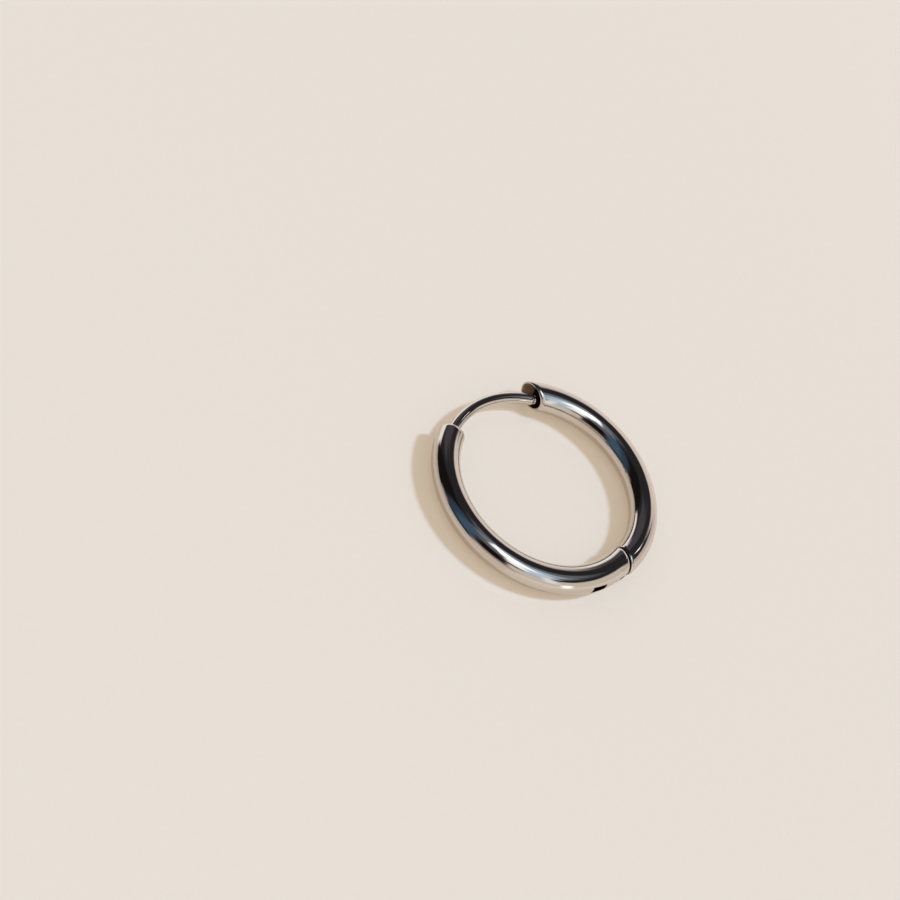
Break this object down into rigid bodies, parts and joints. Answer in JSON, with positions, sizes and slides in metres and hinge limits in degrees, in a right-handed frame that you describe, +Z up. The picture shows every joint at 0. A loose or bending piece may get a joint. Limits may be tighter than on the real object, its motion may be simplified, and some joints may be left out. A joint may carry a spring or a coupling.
{
  "type": "hinged hoop earring",
  "caption": "Hinged hoop earring: a hollow polished tube ring with a slim curved ear wire and a short arc that swings on a hidden pin to close over the wire's tip.",
  "frame": {"origin": "on the surface the hoop lies on, under the middle of the long arc's circle", "axes": "+Z up through the hoop's hole; X and Y span the hoop's plane, with the hinge near +X and the square end of the long tube near -X; the mouth is towards -X and +Y"},
  "size_m": [0.0207, 0.0213, 0.0025],
  "materials": {
    "polished_steel": "mirror-polished stainless steel",
    "plain_steel": "plain, unpolished stainless steel inside the tubes"
  },
  "bodies": {
    "long_arc": {"long_tube": "polished_steel", "ear_wire": "polished_steel", "hinge_fork": "plain_steel", "hinge_pin": "plain_steel"},
    "short_arc": {"short_tube": "polished_steel", "hinge_tongue": "plain_steel", "mouth_catch": "plain_steel"}
  },
  "joints": [
    {"name": "hinge", "type": "hinge", "parent": "long_arc", "child": "short_arc", "pos_m": [0.00923, -0.00264, 0.00125], "axis": [0, 0, -1], "range_deg": [-4.4, 30]}
  ]
}
